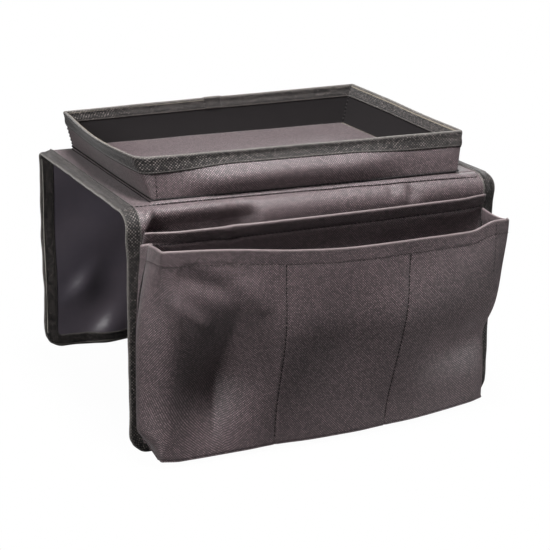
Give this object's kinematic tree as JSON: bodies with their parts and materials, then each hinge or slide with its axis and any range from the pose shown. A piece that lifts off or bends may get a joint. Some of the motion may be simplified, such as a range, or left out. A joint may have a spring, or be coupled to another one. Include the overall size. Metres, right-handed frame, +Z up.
{
  "type": "sofa armrest caddy",
  "caption": "Cloth saddle that lies over a sofa armrest, with a bound tray on top, a flap down each side, and a flat pocket and a boxed divided pocket on the front flap.",
  "frame": {"origin": "middle of the saddle's underside, on the face that sits on the armrest", "axes": "+X along the armrest, +Z up, the pocketed front flap towards -Y"},
  "size_m": [0.32, 0.2748, 0.2284],
  "materials": {
    "cloth": "coarse plain-woven polyester, dark brown-black, matt with a faint sheen",
    "tape": "ribbed woven binding tape, grey-brown, matt",
    "lining": "smooth coated lining cloth, blue-black, satin",
    "board": "plain stiffening board, hidden inside the cloth",
    "felt": "thin pressed felt, hidden inside the cloth"
  },
  "bodies": {
    "saddle": {"saddle_top_lining": "lining", "saddle_top_board": "board", "saddle_top_cloth": "cloth", "saddle_binding_left": "tape", "saddle_binding_right": "tape", "front_seam_welt": "cloth", "tray_floor_board": "board", "tray_floor_cloth": "cloth", "tray_outer_cloth": "cloth", "tray_inner_cloth": "cloth", "tray_board_front": "board", "tray_board_right": "board", "tray_board_back": "board", "tray_board_left": "board", "tray_rim_binding": "tape", "front_fold_lining": "lining", "front_fold_felt": "felt", "front_fold_cloth": "cloth", "front_fold_binding_left": "tape", "front_fold_binding_right": "tape", "rear_fold_lining": "lining", "rear_fold_cloth": "cloth", "rear_fold_binding_left": "tape", "rear_fold_binding_right": "tape"},
    "front_flap": {"front_flap_lining": "lining", "front_flap_felt": "felt", "front_flap_cloth": "cloth", "front_flap_binding": "tape", "inner_pocket": "cloth", "pocket_gusset_left": "cloth", "pocket_gusset_right": "cloth", "pocket_divider_1": "cloth", "pocket_divider_2": "cloth"},
    "outer_pocket": {"outer_pocket_front": "cloth", "outer_pocket_bottom": "cloth"},
    "rear_flap": {"rear_flap_lining": "lining", "rear_flap_felt": "felt", "rear_flap_cloth": "cloth", "rear_flap_binding": "tape"}
  },
  "joints": [
    {"name": "front_flap_swing", "type": "hinge", "parent": "saddle", "child": "front_flap", "pos_m": [0, -0.10716, -0.00184], "axis": [-1, 0, 0], "range_deg": [-60, 90], "deforming": ["front_fold_lining", "front_fold_felt", "front_fold_cloth", "front_fold_binding_left", "front_fold_binding_right"]},
    {"name": "rear_flap_swing", "type": "hinge", "parent": "saddle", "child": "rear_flap", "pos_m": [0, 0.1077, -0.0013], "axis": [1, 0, 0], "range_deg": [-85, 90], "deforming": ["rear_fold_lining", "rear_fold_cloth", "rear_fold_binding_left", "rear_fold_binding_right"]},
    {"name": "outer_pocket_gape", "type": "hinge", "parent": "front_flap", "child": "outer_pocket", "pos_m": [0, -0.1153, -0.1783], "axis": [1, 0, 0], "range_deg": [-11, 12], "stiffness_Nm_per_rad": 0.2, "deforming": ["pocket_gusset_left", "pocket_gusset_right", "pocket_divider_1", "pocket_divider_2"]}
  ]
}
